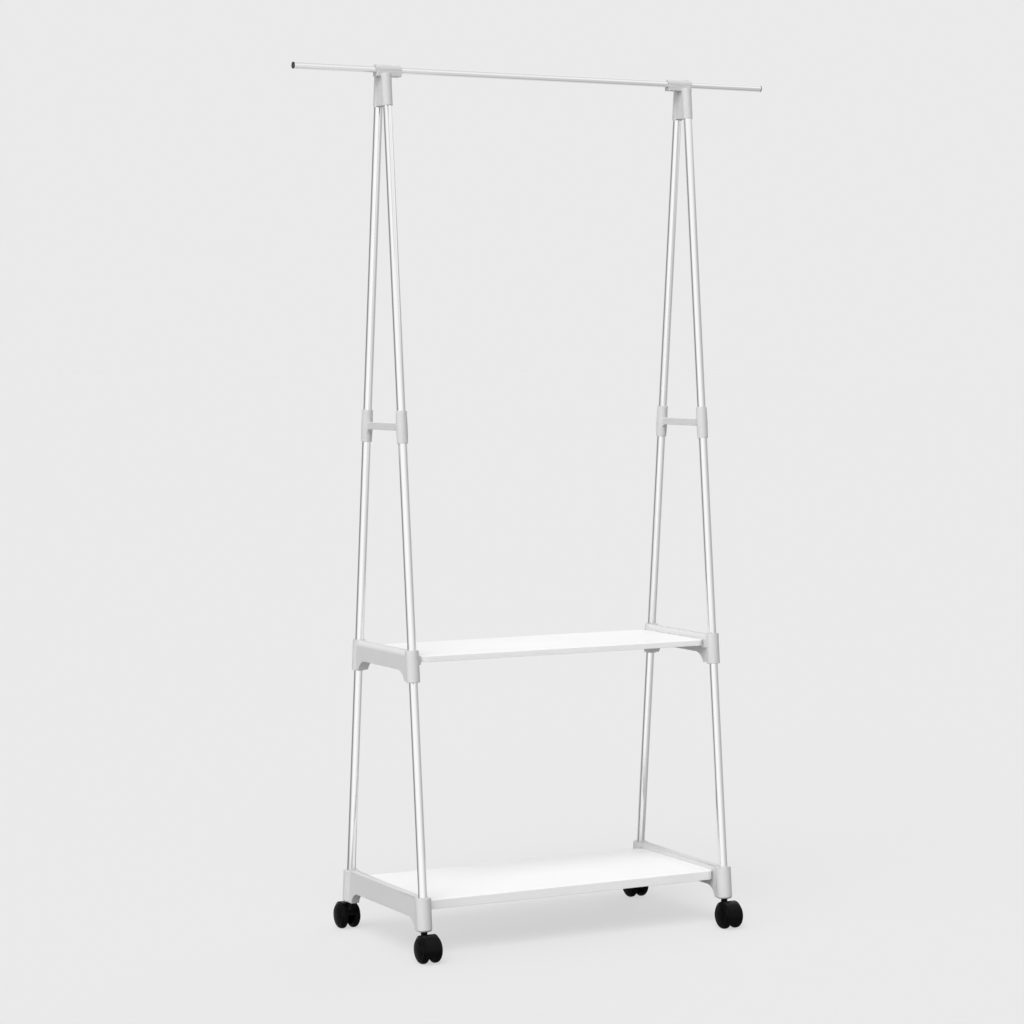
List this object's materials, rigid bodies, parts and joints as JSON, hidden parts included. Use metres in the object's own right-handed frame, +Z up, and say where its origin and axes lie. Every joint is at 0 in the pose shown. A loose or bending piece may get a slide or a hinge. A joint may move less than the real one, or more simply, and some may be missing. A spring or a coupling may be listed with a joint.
{
  "type": "rolling clothes rack",
  "caption": "Rolling clothes rack with leaning A-shaped side frames, a hanging bar at the top, a lower and a middle shelf, and swivelling twin-wheel casters.",
  "frame": {"origin": "on the floor under the middle of the rack", "axes": "+X along the hanging bar to the right end as seen from the front, +Y towards the back, +Z up"},
  "size_m": [0.958, 0.3888, 1.5591],
  "materials": {
    "chrome_tube": "bright plating on steel tube",
    "white_paint": "semi-gloss white powder coat on sheet steel",
    "grey_plastic": "satin pale grey moulded plastic",
    "dark_plastic": "matt dark grey plastic",
    "black_plastic": "satin black moulded plastic",
    "wheel_plastic": "semi-gloss black moulded plastic",
    "steel": "plain zinc-plated steel pin"
  },
  "bodies": {
    "frame": {"hanging_bar": "chrome_tube", "left_bar_plug": "dark_plastic", "right_bar_plug": "dark_plastic", "left_top_connector": "grey_plastic", "right_top_connector": "grey_plastic", "left_brace": "grey_plastic", "right_brace": "grey_plastic", "left_middle_end_panel": "grey_plastic", "right_middle_end_panel": "grey_plastic", "left_bottom_end_panel": "grey_plastic", "right_bottom_end_panel": "grey_plastic", "middle_shelf": "white_paint", "lower_shelf": "white_paint", "left_front_upper_leg": "chrome_tube", "left_front_middle_leg": "chrome_tube", "left_front_lower_leg": "chrome_tube", "left_back_upper_leg": "chrome_tube", "left_back_middle_leg": "chrome_tube", "left_back_lower_leg": "chrome_tube", "right_front_upper_leg": "chrome_tube", "right_front_middle_leg": "chrome_tube", "right_front_lower_leg": "chrome_tube", "right_back_upper_leg": "chrome_tube", "right_back_middle_leg": "chrome_tube", "right_back_lower_leg": "chrome_tube", "left_front_stem_sleeve": "dark_plastic", "left_back_stem_sleeve": "dark_plastic", "right_front_stem_sleeve": "dark_plastic", "right_back_stem_sleeve": "dark_plastic"},
    "left_front_caster": {"left_front_caster_stem": "steel", "left_front_caster_hood": "black_plastic", "left_front_caster_axle": "steel"},
    "left_front_inner_wheel": {"left_front_inner_wheel": "wheel_plastic"},
    "left_front_outer_wheel": {"left_front_outer_wheel": "wheel_plastic"},
    "left_back_caster": {"left_back_caster_stem": "steel", "left_back_caster_hood": "black_plastic", "left_back_caster_axle": "steel"},
    "left_back_inner_wheel": {"left_back_inner_wheel": "wheel_plastic"},
    "left_back_outer_wheel": {"left_back_outer_wheel": "wheel_plastic"},
    "right_front_caster": {"right_front_caster_stem": "steel", "right_front_caster_hood": "black_plastic", "right_front_caster_axle": "steel"},
    "right_front_inner_wheel": {"right_front_inner_wheel": "wheel_plastic"},
    "right_front_outer_wheel": {"right_front_outer_wheel": "wheel_plastic"},
    "right_back_caster": {"right_back_caster_stem": "steel", "right_back_caster_hood": "black_plastic", "right_back_caster_axle": "steel"},
    "right_back_inner_wheel": {"right_back_inner_wheel": "wheel_plastic"},
    "right_back_outer_wheel": {"right_back_outer_wheel": "wheel_plastic"}
  },
  "joints": [
    {"name": "left_front_swivel", "type": "hinge", "parent": "frame", "child": "left_front_caster", "pos_m": [-0.3075, -0.15273, 0.0535], "axis": [0, 0, 1], "continuous": true},
    {"name": "left_front_inner_wheel_spin", "type": "hinge", "parent": "left_front_caster", "child": "left_front_inner_wheel", "pos_m": [-0.3075, -0.16873, 0.024], "axis": [1, 0, 0], "continuous": true},
    {"name": "left_front_outer_wheel_spin", "type": "hinge", "parent": "left_front_caster", "child": "left_front_outer_wheel", "pos_m": [-0.3075, -0.16873, 0.024], "axis": [1, 0, 0], "continuous": true},
    {"name": "left_back_swivel", "type": "hinge", "parent": "frame", "child": "left_back_caster", "pos_m": [-0.3075, 0.15273, 0.0535], "axis": [0, 0, 1], "continuous": true},
    {"name": "left_back_inner_wheel_spin", "type": "hinge", "parent": "left_back_caster", "child": "left_back_inner_wheel", "pos_m": [-0.3075, 0.16873, 0.024], "axis": [1, 0, 0], "continuous": true},
    {"name": "left_back_outer_wheel_spin", "type": "hinge", "parent": "left_back_caster", "child": "left_back_outer_wheel", "pos_m": [-0.3075, 0.16873, 0.024], "axis": [1, 0, 0], "continuous": true},
    {"name": "right_front_swivel", "type": "hinge", "parent": "frame", "child": "right_front_caster", "pos_m": [0.3075, -0.15273, 0.0535], "axis": [0, 0, 1], "continuous": true},
    {"name": "right_front_inner_wheel_spin", "type": "hinge", "parent": "right_front_caster", "child": "right_front_inner_wheel", "pos_m": [0.3075, -0.16873, 0.024], "axis": [1, 0, 0], "continuous": true},
    {"name": "right_front_outer_wheel_spin", "type": "hinge", "parent": "right_front_caster", "child": "right_front_outer_wheel", "pos_m": [0.3075, -0.16873, 0.024], "axis": [1, 0, 0], "continuous": true},
    {"name": "right_back_swivel", "type": "hinge", "parent": "frame", "child": "right_back_caster", "pos_m": [0.3075, 0.15273, 0.0535], "axis": [0, 0, 1], "continuous": true},
    {"name": "right_back_inner_wheel_spin", "type": "hinge", "parent": "right_back_caster", "child": "right_back_inner_wheel", "pos_m": [0.3075, 0.16873, 0.024], "axis": [1, 0, 0], "continuous": true},
    {"name": "right_back_outer_wheel_spin", "type": "hinge", "parent": "right_back_caster", "child": "right_back_outer_wheel", "pos_m": [0.3075, 0.16873, 0.024], "axis": [1, 0, 0], "continuous": true}
  ]
}
